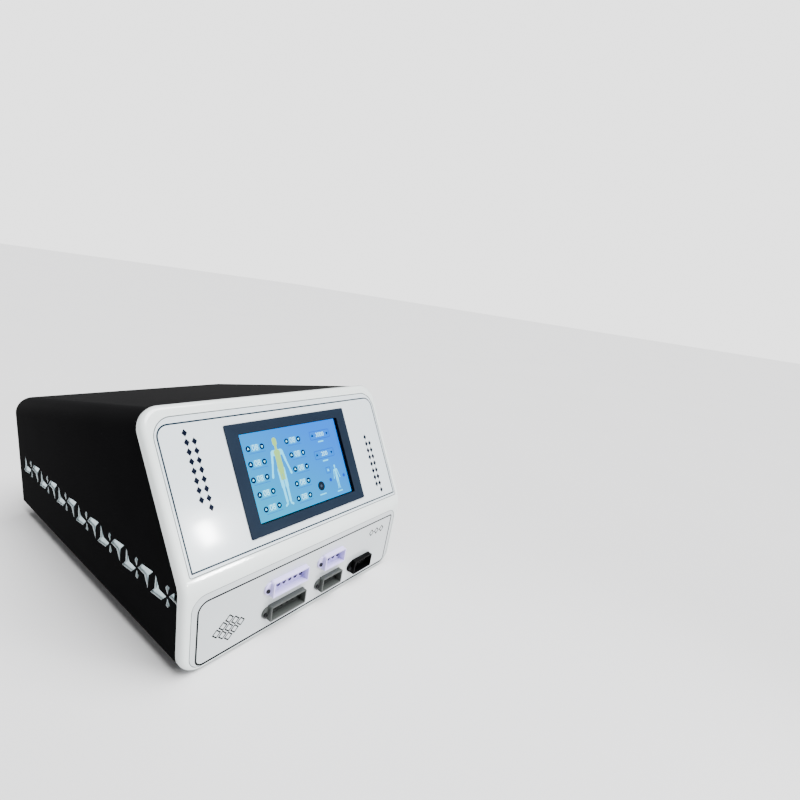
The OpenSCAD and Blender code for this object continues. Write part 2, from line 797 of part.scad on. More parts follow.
module inlet_screws() {
    color("silver") place() inlet_screw_places()
        mirror([0, 1, 0]) pan_screw(-rear_face - inlet_flange[1], 8);
}

module fuse_drawer() {
    face = rear_face + inlet_flange[1];
    gap = 0.2;
    color([0.16, 0.16, 0.17]) place() translate([inlet_x, 0, inlet_z - drawer_low]) difference() {
        union() {
            translate([gap - drawer_w / 2, face - 19.5, gap])
                cube([drawer_w - 2 * gap, 19.5, drawer_h - 2 * gap]);
            translate([2 - drawer_w / 2, face - eps, 1.4]) cube([drawer_w - 4, 1, drawer_h - 2.8]);
        }
        translate([-fuse_len / 2, face - 14, 2.2]) cube([fuse_len, fuse_d, drawer_h]);
        translate([-6, face + 0.4, drawer_h / 2 - 0.6]) cube([12, 2, 1.2]);
    }
}

module fuse() {
    face = rear_face + inlet_flange[1];
    color([0.85, 0.88, 0.88]) place()
        translate([inlet_x - fuse_len / 2, face - 14 + fuse_d / 2, inlet_z - drawer_low + 2.2 + fuse_d / 2])
            rotate([0, 90, 0]) {
                cylinder(d = fuse_d - 0.1, h = 5);
                translate([0, 0, 5]) cylinder(d = fuse_d - 0.6, h = fuse_len - 10);
                translate([0, 0, fuse_len - 5]) cylinder(d = fuse_d - 0.1, h = 5);
            }
}

module switch_body() {
    color([0.06, 0.06, 0.07]) place() translate([switch_x, 0, switch_z]) difference() {
        union() {
            upright(rear_face, 2) translate([0, -switch_h / 2]) panel2d(switch_w, switch_h, 2, 2);
            translate([switch_lip - switch_w / 2, rear_inner - 20, switch_lip - switch_h / 2])
                cube([switch_w - 2 * switch_lip, 20 + sheet_t + 1, switch_h - 2 * switch_lip]);
            for (z = [-8, 0, 8]) translate([-3, rear_inner - 27, z - 0.4]) cube([6, 8, 0.8]);
        }
        translate([3 - switch_w / 2, rear_inner - 12, 3 - switch_h / 2])
            cube([switch_w - 6, 30, switch_h - 6]);
        translate([-switch_w, rear_face - 3, 0]) rotate([0, 90, 0])
            cylinder(d = rocker_pin_d + 2 * run_gap, h = 2 * switch_w);
    }
}

module switch_rocker() {
    reach = switch_h / 2 - 3.6;
    thick = switch_w - 6.8;
    color([0.75, 0.08, 0.06]) place() translate([switch_x, rear_face - 3, switch_z]) {
        rotate([-rocker_tilt, 0, 0]) across(-thick / 2, thick)
            polygon([[-4, -5], [0, -reach], [5, -reach + 0.6], [3.6, 0], [5, reach - 0.6],
                [0, reach], [-4, 5]]);
        translate([1.6 - switch_w / 2, 0, 0]) rotate([0, 90, 0])
            cylinder(d = rocker_pin_d, h = switch_w - 3.2);
    }
}

// ---- air pump ----

module pump_frame_place() { translate([pump_x, pump_y, 0]) children(); }

module pump_mounts() {
    color([0.12, 0.12, 0.12]) place() pump_frame_place() for (x = [-1, 1], y = [-1, 1])
        translate([x * (pump_len / 2 - 14), y * (pump_base_w / 2 - 11), tray_top])
            cylinder(d = 16, h = pump_base_z - tray_top);
}

module pump_base() {
    top = pump_base_z + plate_t;
    color([0.7, 0.71, 0.73]) place() pump_frame_place() {
        translate([-pump_len / 2, -pump_base_w / 2, pump_base_z]) cube([pump_len, pump_base_w, plate_t]);
        for (x = [head_len - pump_len / 2, pump_len / 2 - head_len - plate_t])
            translate([x, -30, top - eps]) cube([plate_t, 60, 20]);
        for (y = [-core_back, core_back - core_leg])
            translate([-core_w / 2, y, top - eps]) cube([core_w, core_leg, pump_axis_z - core_h / 2 - top]);
    }
}

// E-shaped cores to both sides of the armature, their three legs turned towards it.
module pump_cores() {
    color([0.45, 0.46, 0.48]) place() pump_frame_place() for (side = [0, 1]) mirror([0, side, 0])
        translate([0, 0, pump_axis_z - core_h / 2]) {
            translate([-core_w / 2, core_back - core_leg, 0]) cube([core_w, core_leg, core_h]);
            translate([-core_leg, 14, 0]) cube([2 * core_leg, core_back - core_leg - 14 + eps, core_h]);
            for (x = [-core_w / 2, core_w / 2 - core_leg])
                translate([x, 14, 0]) cube([core_leg, core_back - core_leg - 14 + eps, core_h]);
        }
}

module pump_coils() {
    color([0.72, 0.4, 0.2]) place() pump_frame_place() for (side = [0, 1]) mirror([0, side, 0])
        translate([0, 17, pump_axis_z]) difference() {
            translate([-coil_w / 2, 0, -core_h / 2 - 12])
                cube([coil_w, core_back - core_leg - 18, core_h + 24]);
            translate([-core_leg, -1, -core_h / 2]) cube([2 * core_leg, core_back, core_h]);
        }
}

module pump_armature() {
    end_in = 22;
    color([0.55, 0.56, 0.6]) place() pump_frame_place() translate([0, 0, pump_axis_z]) {
        translate([end_in - pump_len / 2, 0, 0]) rotate([0, 90, 0])
            cylinder(d = spindle_d, h = pump_len - 2 * end_in);
        translate([-coil_w / 2, -11, -core_h / 2]) cube([coil_w, 22, core_h]);
        for (side = [0, 1]) mirror([side, 0, 0]) translate([pump_len / 2 - end_in - 2, 0, 0])
            rotate([0, 90, 0]) cylinder(d = 34, h = 4);
    }
}

// Discs that move with the armature; their rims run in a widened groove of the heads.
module pump_diaphragms() {
    color([0.15, 0.15, 0.15]) place() pump_frame_place() translate([0, 0, pump_axis_z])
        for (side = [0, 1]) mirror([side, 0, 0]) translate([pump_len / 2 - 20, 0, 0])
            rotate([0, 90, 0]) cylinder(d = head_d - 14, h = 2);
}

module pump_heads() {
    groove = 2 + 2 * pump_stroke + 0.8;
    inner = pump_len / 2 - head_len;
    color([0.78, 0.79, 0.8]) place() pump_frame_place() translate([0, 0, pump_axis_z])
        for (side = [0, 1]) mirror([side, 0, 0]) difference() {
            union() {
                translate([inner, 0, 0]) rotate([0, 90, 0]) cylinder(d = head_d, h = head_len);
                translate([inner, -20, pump_base_z + plate_t - pump_axis_z]) cube([head_len, 40, head_d / 2]);
                translate([pump_len / 2 - 10, 0, head_d / 2 - 4]) cylinder(d = outlet_d, h = 16);
            }
            translate([inner - 1, 0, 0]) rotate([0, 90, 0]) cylinder(d = head_d - 26, h = 18);
            translate([pump_len / 2 - 19 - groove / 2, 0, 0]) rotate([0, 90, 0])
                cylinder(d = head_d - 12, h = groove);
            translate([pump_len / 2 - 10, 0, head_d / 2 - 16]) cylinder(d = outlet_d - 4, h = 40);
        }
}

// ---- rotary air distributor ----

module distributor_place() { translate([disk_x, disk_y, 0]) children(); }

module distributor_bracket() {
    color([0.6, 0.62, 0.64]) place() distributor_place() difference() {
        union() {
            translate([-stand_w / 2, -stand_w / 2, disk_z - plate_t]) cube([stand_w, stand_w, plate_t]);
            for (x = [-stand_w / 2, stand_w / 2 - 2])
                translate([x, -stand_w / 2, tray_top]) cube([2, stand_w, disk_z - tray_top]);
        }
        translate([0, 0, disk_z - 10]) cylinder(d = 20, h = 20);
    }
}

module distributor_motor() {
    color([0.68, 0.69, 0.71]) place() distributor_place() difference() {
        translate([0, 0, disk_z - plate_t - 32]) cylinder(d = motor_d, h = 32);
        translate([0, 0, disk_z - 13]) cylinder(d = spindle_d + 2 * run_gap, h = 20);
    }
}

// Pot with two rings of hose barbs, one for each air port.
module distributor_body() {
    barb_places = [for (level = [9, 25], i = [0 : 11]) [level, i * 30 + (level > 9 ? 15 : 0)]];
    color([0.9, 0.9, 0.88]) place() distributor_place() difference() {
        union() {
            translate([0, 0, disk_z]) cylinder(d = disk_d + 2 * pot_wall, h = disk_h);
            for (b = barb_places) translate([0, 0, disk_z + b[0]]) rotate([0, 90, b[1]])
                translate([0, 0, disk_d / 2 + 4]) cylinder(d = barb_d, h = 16);
        }
        translate([0, 0, disk_z + pot_floor]) cylinder(d = disk_d, h = disk_h);
        translate([0, 0, disk_z - 1]) cylinder(d = spindle_d + 2 * run_gap, h = 20);
        for (b = barb_places) translate([0, 0, disk_z + b[0]]) rotate([0, 90, b[1]])
            translate([0, 0, disk_d / 2 - 4]) cylinder(d = barb_d - 2.4, h = 30);
    }
}

// Slotted cup on the motor's shaft, which opens one port after another.
module distributor_disc() {
    color([0.3, 0.32, 0.35]) place() distributor_place() difference() {
        union() {
            translate([0, 0, disk_z + pot_floor + 0.3])
                cylinder(d = disk_d - 0.6, h = disk_h - 2 * pot_floor);
            translate([0, 0, disk_z - 12]) cylinder(d = spindle_d, h = 20);
        }
        translate([0, 0, disk_z + 12]) cylinder(d = disk_d - 16, h = disk_h);
        translate([0, -4, disk_z + 18]) cube([disk_d, 8, disk_h]);
    }
}

module distributor_cap() {
    color([0.9, 0.9, 0.88]) place() distributor_place() difference() {
        union() {
            translate([0, 0, disk_z + disk_h]) cylinder(d = disk_d + 2 * pot_wall, h = pot_floor);
            translate([0, 0, disk_z + disk_h]) cylinder(d = outlet_d, h = 18);
        }
        translate([0, 0, disk_z + disk_h - 1]) cylinder(d = outlet_d - 4, h = 30);
    }
}

// Hose from both heads' outlets to the cap, straight runs with a ball at each turn.
module feed_hose() {
    low = pump_axis_z + head_d / 2 + 2;
    run_z = pump_axis_z + head_d / 2 + 26;
    end_x = pump_len / 2 - 10;
    cap_z = disk_z + disk_h + pot_floor + 2;
    bore = outlet_d + 0.2;
    color([0.8, 0.8, 0.76]) place() difference() {
        union() {
            for (x = [-end_x, end_x]) translate([pump_x + x, pump_y, low]) {
                cylinder(d = hose_d, h = run_z - low);
                translate([0, 0, run_z - low]) sphere(d = hose_d);
            }
            translate([pump_x - end_x, pump_y, run_z]) rotate([0, 90, 0])
                cylinder(d = hose_d, h = disk_x - pump_x + end_x);
            translate([disk_x, pump_y, run_z]) sphere(d = hose_d);
            translate([disk_x, disk_y, run_z]) sphere(d = hose_d);
            translate([disk_x, disk_y, run_z]) rod_y(hose_d, 0, pump_y - disk_y);
            translate([disk_x, disk_y, cap_z]) cylinder(d = hose_d, h = run_z - cap_z);
        }
        for (x = [-end_x, end_x]) translate([pump_x + x, pump_y, low - 1]) cylinder(d = bore, h = 20);
        translate([disk_x, disk_y, cap_z - 1]) cylinder(d = bore, h = 20);
    }
}

// ---- electronics ----

module power_supply() {
    color([0.72, 0.73, 0.74]) place() translate(supply_pos) difference() {
        cube(supply_size);
        translate([14, sheet_t, sheet_t])
            cube([supply_size[0], supply_size[1] - 2 * sheet_t, supply_size[2] - 2 * sheet_t]);
        for (i = [1 : 8]) translate([20 + i * 10, 12, supply_size[2] - 3]) cube([4, supply_size[1] - 24, 6]);
    }
}

module terminal_block() {
    color([0.1, 0.1, 0.1]) place() translate([supply_pos[0] - 12, supply_pos[1] + 10, supply_pos[2]])
        difference() {
            cube([12, supply_size[1] - 20, 16]);
            for (i = [0 : 5]) translate([2, 4 + i * 10, 10]) cube([8, 7, 8]);
        }
}

module control_board() {
    color([0.08, 0.35, 0.16]) place() translate(board_pos) difference() {
        union() {
            cube(board_size);
            translate([20, 20, board_size[2] - eps]) cube([18, 18, 2]);
            translate([60, 12, board_size[2] - eps]) cube([34, 12, 9]);
            for (i = [0 : 3]) translate([20 + i * 14, 66, board_size[2] - eps]) cylinder(d = 10, h = 14);
        }
        board_post_places() translate([0, 0, -1]) cylinder(d = 3.2, h = 5);
    }
}

module board_post_places() {
    for (x = [board_inset, board_size[0] - board_inset], y = [board_inset, board_size[1] - board_inset])
        translate([x, y, 0]) children();
}

module board_posts() {
    color([0.8, 0.7, 0.4]) place() translate([board_pos[0], board_pos[1], 0]) board_post_places()
        translate([0, 0, tray_top]) cylinder(d = 6, h = board_pos[2] - tray_top, $fn = 6);
}

case_cover();
base_tray();
rear_panel();
vent_screens();
rubber_feet();
foot_screws();
foot_nuts();
cover_screws();
front_fascia();
fascia_brackets();
upper_film();
lower_film();
screen_bezel();
touch_glass();
lcd_panel();
display_board();
long_socket_top();
long_socket_low();
short_socket_top();
short_socket_low();
last_socket();
long_insert_top();
long_insert_low();
short_insert_top();
short_insert_low();
last_insert();
port_seals();
socket_screws();
mains_inlet();
inlet_pins();
inlet_screws();
fuse_drawer();
fuse();
switch_body();
switch_rocker();
fan_frame();
fan_rotor();
fan_guard();
fan_screws();
panel_screws();
pump_mounts();
pump_base();
pump_cores();
pump_coils();
pump_armature();
pump_diaphragms();
pump_heads();
distributor_bracket();
distributor_motor();
distributor_body();
distributor_disc();
distributor_cap();
feed_hose();
power_supply();
terminal_block();
control_board();
board_posts();
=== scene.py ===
"""Looks of the compression therapy pump: finishes, printed films, screen image and softened edges.

Metres, +Z up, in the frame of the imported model. The console's front faces -Y.
"""

import json
import math

import bpy
import bmesh
from mathutils import Matrix, Vector

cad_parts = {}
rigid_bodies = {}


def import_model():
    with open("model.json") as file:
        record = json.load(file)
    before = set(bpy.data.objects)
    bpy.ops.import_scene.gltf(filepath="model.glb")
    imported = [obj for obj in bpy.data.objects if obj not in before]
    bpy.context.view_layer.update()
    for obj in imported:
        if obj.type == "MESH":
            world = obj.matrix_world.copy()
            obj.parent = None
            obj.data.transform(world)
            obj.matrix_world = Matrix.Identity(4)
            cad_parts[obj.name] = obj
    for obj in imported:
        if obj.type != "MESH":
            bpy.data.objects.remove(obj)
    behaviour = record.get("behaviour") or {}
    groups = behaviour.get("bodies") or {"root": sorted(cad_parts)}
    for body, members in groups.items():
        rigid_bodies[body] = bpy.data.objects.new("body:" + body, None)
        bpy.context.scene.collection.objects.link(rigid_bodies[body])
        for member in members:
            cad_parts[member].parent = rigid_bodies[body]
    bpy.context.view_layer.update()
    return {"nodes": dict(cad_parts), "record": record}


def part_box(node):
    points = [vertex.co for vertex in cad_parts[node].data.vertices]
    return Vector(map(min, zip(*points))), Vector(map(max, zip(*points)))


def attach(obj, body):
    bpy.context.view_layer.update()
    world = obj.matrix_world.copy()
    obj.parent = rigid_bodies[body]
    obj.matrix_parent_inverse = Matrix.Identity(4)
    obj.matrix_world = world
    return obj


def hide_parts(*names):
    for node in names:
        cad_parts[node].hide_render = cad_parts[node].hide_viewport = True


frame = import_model()
MM = 0.001

# The fascia's lower face is upright, and its upper face leans back from the bend.
FRONT_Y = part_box("front_fascia")[0].y
BEND_HEIGHT = 117 * MM
FACE_LEAN = math.radians(30)

# How far the films' fronts and the touch glass lie behind the faces.
FILM_DEPTH = 0.3 * MM
GLASS_DEPTH = 4.7 * MM

# The film's own thickness, and how far ink stands on a film and the image's pieces stand on the glass.
FILM_THICKNESS = 0.5 * MM
INK_THICKNESS = 0.06 * MM
IMAGE_THICKNESS = 0.05 * MM

# The screen's window on the upper face, in millimetres: right of its middle and up from the bend.
WINDOW_LOW = (-85, 38)
WINDOW_HIGH = (93, 148)

# ---------------------------------------------------------------- camera

# The photograph is cropped off-centre, so the camera looks past the console and its frame is shifted.
# The place is in metres, the angles in degrees and the lens and sensor in millimetres.
CAMERA_PLACE = (-0.4238, -0.5642, 0.4249)
CAMERA_AZIMUTH = -51.11
CAMERA_ELEVATION = 19.99
CAMERA_ROLL = 8.48
CAMERA_LENS = 21.09
CAMERA_SENSOR = 36
CAMERA_SHIFT = (0.0931, 0.0694)
NEAREST_SEEN = 20 * MM


def make_camera():
    """The photograph's view: turned about the vertical, tipped down and rolled."""
    camera = bpy.data.objects.new("camera", bpy.data.cameras.new("camera"))
    bpy.context.scene.collection.objects.link(camera)
    turn = Matrix.Rotation(math.radians(CAMERA_AZIMUTH), 4, "Z")
    tip = Matrix.Rotation(math.radians(90 - CAMERA_ELEVATION), 4, "X")
    roll = Matrix.Rotation(math.radians(CAMERA_ROLL), 4, "Z")
    camera.matrix_world = Matrix.Translation(CAMERA_PLACE) @ turn @ tip @ roll
    camera.data.lens = CAMERA_LENS
    camera.data.sensor_width = CAMERA_SENSOR
    camera.data.shift_x, camera.data.shift_y = CAMERA_SHIFT
    camera.data.clip_start = NEAREST_SEEN
    bpy.context.scene.camera = camera


make_camera()

# ---------------------------------------------------------------- small tools


def deselect():
    """Leaves no object selected."""
    for obj in bpy.context.view_layer.objects:
        obj.select_set(False)


def take(obj):
    """Makes obj the only selected and the active object."""
    deselect()
    obj.select_set(True)
    bpy.context.view_layer.objects.active = obj


def edit(obj, kind="FACE"):
    """Opens obj in edit mode with nothing selected."""
    take(obj)
    bpy.ops.object.mode_set(mode="EDIT")
    bpy.ops.mesh.select_mode(type=kind)
    bpy.ops.mesh.select_all(action="DESELECT")


def done():
    """Closes edit mode."""
    bpy.ops.object.mode_set(mode="OBJECT")


def pick(obj, test):
    """Selects the vertices of obj, in edit mode, that pass the test."""
    shape = bmesh.from_edit_mesh(obj.data)
    for vertex in shape.verts:
        if test(vertex):
            vertex.select_set(True)
    bmesh.update_edit_mesh(obj.data)


def settle(obj, place=None):
    """Puts the object's place into its mesh, after moving it by an extra matrix if there is one."""
    take(obj)
    if place is not None:
        obj.matrix_world = place @ obj.matrix_world
    bpy.ops.object.transform_apply(location=True, rotation=True, scale=True)
    return obj


def join(objs, name):
    """Joins the objects into the first one, under a new name."""
    take(objs[0])
    for obj in objs[1:]:
        obj.select_set(True)
    if len(objs) > 1:
        bpy.ops.object.join()
    joined = bpy.context.view_layer.objects.active
    joined.name = name
    joined.data.name = name
    return joined


def copied(obj, place):
    """A copy of the object with its own mesh, moved by a matrix."""
    twin = obj.copy()
    twin.data = obj.data.copy()
    bpy.context.scene.collection.objects.link(twin)
    twin.matrix_world = place @ obj.matrix_world
    return twin


def smooth(obj, degrees):
    """Shades the object smooth, apart from edges sharper than an angle."""
    take(obj)
    bpy.ops.object.shade_smooth_by_angle(angle=math.radians(degrees))


def finished(obj, body, material):
    """Gives a new piece its material and its body."""
    obj.data.materials.clear()
    obj.data.materials.append(material)
    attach(obj, body)


# ---------------------------------------------------------------- faces of the fascia

# Local x runs right, y up the face and z out of it.
LOWER_FACE = Matrix.Translation((0, FRONT_Y, 0)) @ Matrix.Rotation(math.radians(90), 4, "X")
UPPER_FACE = (
    Matrix.Translation((0, FRONT_Y, BEND_HEIGHT))
    @ Matrix.Rotation(-FACE_LEAN, 4, "X")
    @ Matrix.Rotation(math.radians(90), 4, "X")
)


def out(face, depth):
    """The face's own frame, moved into the case by a depth."""
    return face @ Matrix.Translation((0, 0, -depth))


# ---------------------------------------------------------------- materials

# The texture of a mould, the lines on rolled metal and the mesh of a printing screen are finer on the real
# ones. They are drawn as coarse as they need to be to show.

# A grain that runs no way, as on cast, drawn or tumbled metal.
EVEN = (1, 1, 1)
# A grain drawn out along x: fine lines from the rolling mill.
ROLLED = (1, 40, 40)


def linear(code):
    """Linear colour of an sRGB hex value."""
    values = [int(code[i : i + 2], 16) / 255 for i in (1, 3, 5)]
    return [v / 12.92 if v <= 0.04045 else ((v + 0.055) / 1.055) ** 2.4 for v in values] + [1]


def add(tree, kind, settings=None, links=None, **fields):
    """Adds a node with its fields, socket values and links from (node, output) pairs."""
    node = tree.nodes.new(kind)
    for name, value in fields.items():
        setattr(node, name, value)
    for name, value in (settings or {}).items():
        node.inputs[name].default_value = value
    for name, (source, output) in (links or {}).items():
        tree.links.new(source.outputs[output], node.inputs[name])
    return node


def new_material(name, settings):
    """A material with a principled shader, and its tree, shader and object coordinates."""
    material = bpy.data.materials.new(name)
    material.use_nodes = True
    tree = material.node_tree
    shader = tree.nodes["Principled BSDF"]
    for key, value in settings.items():
        shader.inputs[key].default_value = value
    place = add(tree, "ShaderNodeTexCoord")
    return material, tree, shader, place


def mottled(tree, shader, place, low, high, size_mm, rough):
    """Slow colour change between two tones, and roughness that follows it."""
    cloud = add(
        tree,
        "ShaderNodeTexNoise",
        {"Scale": 1 / (size_mm * MM), "Detail": 3},
        {"Vector": (place, "Object")},
    )
    tone = add(
        tree,
        "ShaderNodeMix",
        {"A": linear(low), "B": linear(high)},
        {"Factor": (cloud, "Fac")},
        data_type="RGBA",
    )
    span = add(
        tree,
        "ShaderNodeMapRange",
        {"To Min": rough[0], "To Max": rough[1]},
        {"Value": (cloud, "Fac")},
    )
    tree.links.new(tone.outputs["Result"], shader.inputs["Base Color"])
    tree.links.new(span.outputs["Result"], shader.inputs["Roughness"])


def grained(tree, shader, place, grain_mm, depth_mm, strength, stretch=EVEN):
    """A fine surface grain of a real size, as a bump; stretch makes it finer along each axis."""
    spread = add(tree, "ShaderNodeMapping", {"Scale": stretch}, {"Vector": (place, "Object")})
    grain = add(
        tree,
        "ShaderNodeTexNoise",
        {"Scale": 1 / (grain_mm * MM), "Detail": 2},
        {"Vector": (spread, "Vector")},
    )
    bump = add(
        tree,
        "ShaderNodeBump",
        {"Strength": strength, "Distance": depth_mm * MM},
        {"Height": (grain, "Fac")},
    )
    tree.links.new(bump.outputs["Normal"], shader.inputs["Normal"])


def powder_coat(name, low, high, rough):
    """Matt polyester powder coat on steel: black face on, greyer at a glance, with a fine orange peel."""
    settings = {"IOR": 1.5, "Specular IOR Level": 0.0, "Sheen Weight": 0.05, "Sheen Roughness": 0.25}
    material, tree, shader, place = new_material(name, settings)
    mottled(tree, shader, place, low, high, size_mm=60, rough=rough)
    grained(tree, shader, place, grain_mm=1.2, depth_mm=0.02, strength=0.35)
    return material


def moulded(name, low, high, rough, grain_mm=0.6, depth_mm=0.008, coat=0.0, gloss=0.5):
    """Injection-moulded plastic: even colour and its tool's faint grain; a coat where it is polished."""
    settings = {"IOR": 1.53, "Specular IOR Level": gloss, "Coat Weight": coat, "Coat Roughness": 0.06}
    material, tree, shader, place = new_material(name, settings)
    mottled(tree, shader, place, low, high, size_mm=45, rough=rough)
    grained(tree, shader, place, grain_mm, depth_mm, strength=0.5)
    return material


def film(name, low, high):
    """Back-printed PET film: pale ink under a clear glossy sheet with slow waves from its glue."""
    settings = {"IOR": 1.57, "Coat Weight": 0.5, "Coat Roughness": 0.07}
    material, tree, shader, place = new_material(name, settings)
    mottled(tree, shader, place, low, high, size_mm=80, rough=(0.16, 0.22))
    grained(tree, shader, place, grain_mm=26, depth_mm=0.05, strength=0.12)
    return material


def bare_metal(name, low, high, rough, stretch=ROLLED, grain_mm=6, shine=1.0):
    """Rolled, cast or plated metal: bright, with a fine grain; duller where shine is low."""
    material, tree, shader, place = new_material(name, {"Metallic": shine})
    mottled(tree, shader, place, low, high, size_mm=30, rough=rough)
    grained(tree, shader, place, grain_mm, depth_mm=0.004, strength=0.4, stretch=stretch)
    return material


def soft_rubber(name, low, high, rough):
    """Moulded rubber: matt, with a bloom that lightens it in patches."""
    material, tree, shader, place = new_material(name, {"IOR": 1.52, "Specular IOR Level": 0.35})
    mottled(tree, shader, place, low, high, size_mm=12, rough=rough)
    grained(tree, shader, place, grain_mm=0.5, depth_mm=0.02, strength=0.5)
    return material


def ink(name, code):
    """Screen-printed ink: opaque, a little matt against the film, with the mesh's fine texture."""
    material, tree, shader, place = new_material(name, {"IOR": 1.5, "Specular IOR Level": 0.04})
    mottled(tree, shader, place, code, code, size_mm=8, rough=(0.3, 0.38))
    grained(tree, shader, place, grain_mm=0.4, depth_mm=0.003, strength=0.5)
    return material


def clear_glass(name):
    """Borosilicate tube: clear, with a faint green from its thickness."""
    settings = {"IOR": 1.47, "Transmission Weight": 0.85, "Base Color": linear("#E9F4F1")}
    material, tree, shader, place = new_material(name, settings)
    grained(tree, shader, place, grain_mm=4, depth_mm=0.01, strength=0.1)
    return material


# The display where it gives no light: nearly black glass with little glare.
UNLIT_GLASS = {"Base Color": linear("#020609"), "Specular IOR Level": 0.12, "Roughness": 0.12}


def lit_screen(name):
    """Liquid-crystal image behind cover glass: its own light, bluer to the upper right, under gloss."""
    material, tree, shader, place = new_material(name, {"IOR": 1.5, "Emission Strength": 1.8, **UNLIT_GLASS})
    low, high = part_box("touch_glass")
    axes = add(tree, "ShaderNodeSeparateXYZ", links={"Vector": (place, "Object")})
    across = add(tree, "ShaderNodeMapRange", {"From Min": low.x, "From Max": high.x}, {"Value": (axes, "X")})
    along = add(tree, "ShaderNodeMapRange", {"From Min": low.z, "From Max": high.z}, {"Value": (axes, "Z")})
    both = add(tree, "ShaderNodeMath", links={0: (across, "Result"), 1: (along, "Result")}, operation="ADD")
    half = add(tree, "ShaderNodeMath", {1: 0.5}, {0: (both, "Value")}, operation="MULTIPLY")
    ramp = add(tree, "ShaderNodeValToRGB", links={"Fac": (half, "Value")})
    lower_left, upper_right = ramp.color_ramp.elements
    lower_left.position = 0.15
    lower_left.color = linear("#00ADE4")
    upper_right.position = 0.8
    upper_right.color = linear("#007EFE")
    middle = ramp.color_ramp.elements.new(0.48)
    middle.color = linear("#0096EE")
    tree.links.new(ramp.outputs["Color"], shader.inputs["Emission Color"])
    return material


def lit_ink(name, code, strength):
    """A tone of the screen's image: it gives its own light."""
    material, tree, shader, place = new_material(name, {"Emission Strength": strength, **UNLIT_GLASS})
    cloud = add(tree, "ShaderNodeTexNoise", {"Scale": 1 / (2.5 * MM)}, {"Vector": (place, "Object")})
    tone = add(
        tree,
        "ShaderNodeMix",
        {"A": linear(code), "B": [min(1, v * 1.08) for v in linear(code)]},
        {"Factor": (cloud, "Fac")},
        data_type="RGBA",
    )
    tree.links.new(tone.outputs["Result"], shader.inputs["Emission Color"])
    return material


FINISHES = {
    # The case: painted cover and rear panel, plated tray, and the sheet behind the punched vents.
    "cover_paint": powder_coat("black_powder_coat", "#0C0C0D", "#101011", (0.5, 0.6)),
    "tray_steel": bare_metal("zinc_plated_steel", "#A6A9AC", "#B9BCBE", (0.35, 0.45)),
    "screen_metal": bare_metal("satin_aluminium_sheet", "#BAD2D9", "#DDF0F4", (0.3, 0.4), shine=0.7),
    "foot_rubber": soft_rubber("black_foot_rubber", "#1B1B1C", "#262627", (0.7, 0.85)),
    "screw_steel": bare_metal("bright_zinc_steel", "#C9CBCC", "#DADCDD", (0.22, 0.35), EVEN, 1.5),
    # The front: polished moulding, printed films, the screen's matt surround and the lit display.
    "fascia_white": moulded("gloss_white_abs", "#D8DFDE", "#DFE5E4", (0.16, 0.22), 9, 0.01, 0.6),
    "film_upper": film("upper_print_film", "#C7D0D6", "#CED6DB"),
    # The lower film is drawn darker than the upper one: partly its greyer print, and partly painted shade
    # that darkens the lower face against the floor's bright bounce.
    "film_lower": film("lower_print_film_painted_shade", "#B9BFC2", "#C0C5C8"),
    "bezel_slate": moulded("slate_blue_abs", "#151D29", "#1A2431", (0.42, 0.5), gloss=0.02),
    "touch_glass": lit_screen("lit_touch_screen"),
    "lcd": bare_metal("display_back_steel", "#8E9092", "#9EA0A2", (0.4, 0.5)),
    # The air sockets and their port blocks: satin plastic, tinted through.
    "socket_lilac": moulded("lilac_polycarbonate", "#BDB4EC", "#C8C0F1", (0.3, 0.38)),
    "socket_grey": moulded("grey_polycarbonate", "#383B3A", "#414543", (0.34, 0.42), gloss=0.25),
    "socket_black": moulded("black_polycarbonate", "#020203", "#030304", (0.36, 0.44), gloss=0.03),
    "insert_lilac": moulded("lilac_port_block", "#ADA3E2", "#B8AFE8", (0.35, 0.42)),
    "insert_grey": moulded("grey_port_block", "#232625", "#2A2D2C", (0.38, 0.45), gloss=0.15),
    "insert_black": moulded("black_port_block", "#040405", "#070708", (0.35, 0.42), gloss=0.1),
    "seal_rubber": soft_rubber("seal_rubber", "#141416", "#1D1D20", (0.55, 0.7)),
    # The rear: mains inlet, switch, fuse and fan.
    "black_plastic": moulded("black_polyamide", "#0C0D0E", "#141516", (0.4, 0.5), 0.5, 0.012),
    "switch_red": moulded("red_rocker_nylon", "#B3140D", "#C11C12", (0.28, 0.36)),
    "brass": bare_metal("plated_brass", "#D2BC7C", "#DDC98F", (0.25, 0.35), EVEN, 3),
    "fuse_glass": clear_glass("fuse_tube_glass"),
    "guard_wire": bare_metal("nickel_plated_wire", "#CFD0D2", "#E0E1E3", (0.18, 0.28), EVEN, 3),
    # The inside: pump, distributor, hose and boards. The two lined grains are laminations and turns of wire.
    "pump_alloy": bare_metal("cast_aluminium", "#B5B7BA", "#C4C6C8", (0.45, 0.6), EVEN, 1.2),
    "core_steel": bare_metal("laminated_iron", "#5F6165", "#727478", (0.45, 0.6), (1, 1, 30), 3),
    "coil_copper": bare_metal("varnished_copper_wire", "#A45C2E", "#BE7440", (0.3, 0.4), (1, 1, 60), 6),
    "pot_plastic": moulded("ivory_acetal", "#DEDDD6", "#E6E5DF", (0.38, 0.46)),
    "disc_plastic": moulded("graphite_nylon", "#44484E", "#50545B", (0.4, 0.5)),
    "hose_vinyl": soft_rubber("milky_vinyl_hose", "#C6C6BC", "#D4D4CC", (0.35, 0.5)),
    "board_green": moulded("solder_mask_green", "#12582A", "#186634", (0.3, 0.4), 2, 0.02),
}
